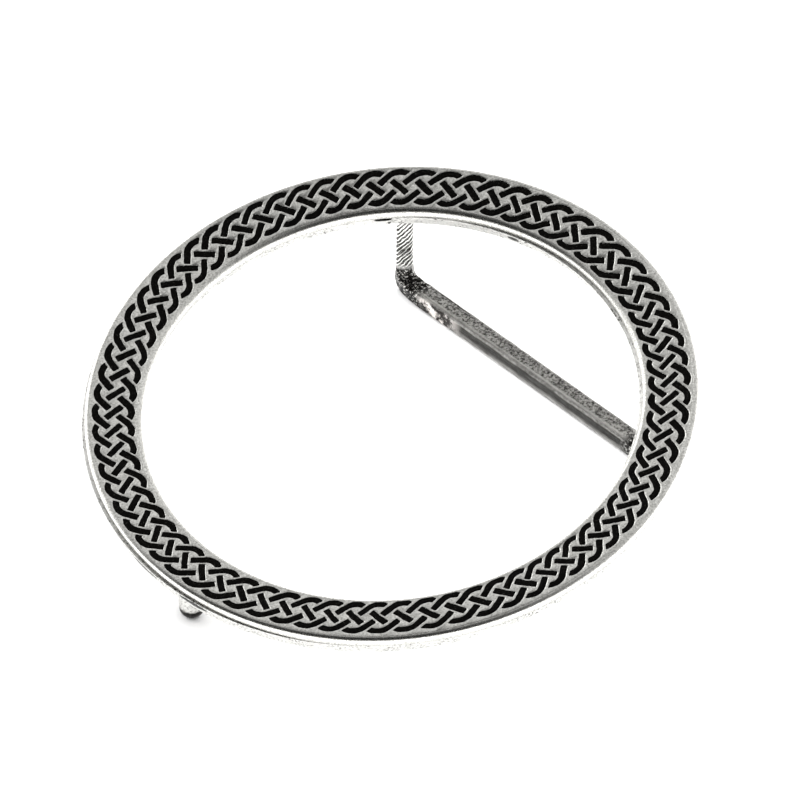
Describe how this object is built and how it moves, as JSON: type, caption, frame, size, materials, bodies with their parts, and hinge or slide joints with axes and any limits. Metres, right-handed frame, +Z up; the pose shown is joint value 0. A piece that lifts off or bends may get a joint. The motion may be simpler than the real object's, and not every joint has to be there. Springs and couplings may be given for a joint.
{
  "type": "ring clasp",
  "caption": "Ring buckle for a strap with an engraved plait round its face, a strap bar on two legs behind it and a hook stud across from the bar.",
  "frame": {"origin": "under the middle of the part's box, on the surface it rests on", "axes": "+Z up, the ring's face upwards and leaning 7.5 degrees from level; +X towards the strap bar, +Y along the bar"},
  "size_m": [0.0714, 0.072, 0.0171],
  "materials": {
    "polished_metal": "satin",
    "cast_metal": "matte",
    "black_fill": "satin"
  },
  "bodies": {
    "root": {"face_ring": "polished_metal", "back_frame": "cast_metal", "black_inlay": "black_fill"}
  },
  "joints": []
}
